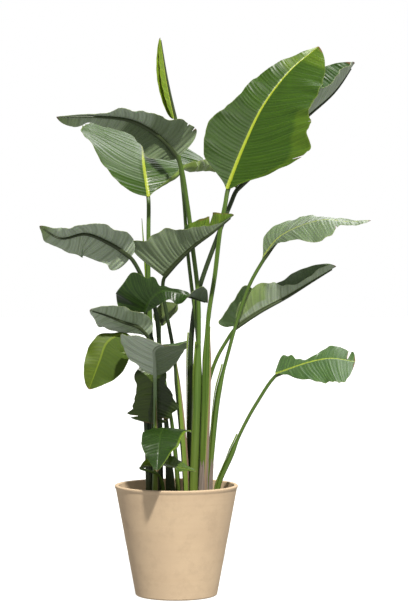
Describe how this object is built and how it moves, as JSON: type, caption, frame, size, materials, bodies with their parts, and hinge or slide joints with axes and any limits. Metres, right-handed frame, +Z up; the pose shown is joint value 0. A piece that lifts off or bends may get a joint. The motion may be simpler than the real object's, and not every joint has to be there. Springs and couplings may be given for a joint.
{
  "type": "potted bird of paradise plant",
  "caption": "Tall house plant with broad paddle leaves on long sheathing stalks, in a plain tapered clay pot with a soft rounded lip.",
  "frame": {"origin": "centre of the pot's flat base, on the surface the pot stands on", "axes": "+Z up along the pot's axis, -Y towards the front, +X to the right seen from the front"},
  "size_m": [0.8667, 0.5957, 1.4853],
  "materials": {
    "leaf": "glossy living leaf, paler grey-green below",
    "stalk": "satin living stalk",
    "dry_sheath": "matt dry leaf base",
    "soil": "matt crumbly potting soil",
    "pot": "matt unglazed clay with faint throwing bands"
  },
  "bodies": {
    "root": {"leaf_01_stalk": "stalk", "leaf_01_blade": "leaf", "leaf_02_stalk": "stalk", "leaf_02_blade": "leaf", "leaf_03_stalk": "stalk", "leaf_03_blade": "leaf", "leaf_04_stalk": "stalk", "leaf_04_blade": "leaf", "leaf_05_stalk": "stalk", "leaf_05_blade": "leaf", "leaf_06_stalk": "stalk", "leaf_06_blade": "leaf", "leaf_07_stalk": "stalk", "leaf_07_blade": "leaf", "leaf_08_stalk": "stalk", "leaf_08_blade": "leaf", "leaf_09_stalk": "stalk", "leaf_09_blade": "leaf", "leaf_10_stalk": "stalk", "leaf_10_blade": "leaf", "leaf_11_stalk": "stalk", "leaf_11_blade": "leaf", "leaf_12_stalk": "stalk", "leaf_12_blade": "leaf", "leaf_13_stalk": "stalk", "leaf_13_blade": "leaf", "leaf_14_stalk": "stalk", "leaf_14_blade": "leaf", "leaf_15_stalk": "stalk", "leaf_15_blade": "leaf", "leaf_16_stalk": "stalk", "leaf_16_blade": "leaf", "leaf_17_stalk": "stalk", "leaf_17_blade": "leaf", "leaf_18_stalk": "stalk", "leaf_18_blade": "leaf", "dry_sheath_01": "dry_sheath", "dry_sheath_02": "dry_sheath", "dry_sheath_03": "dry_sheath", "soil": "soil", "pot": "pot"}
  },
  "joints": []
}
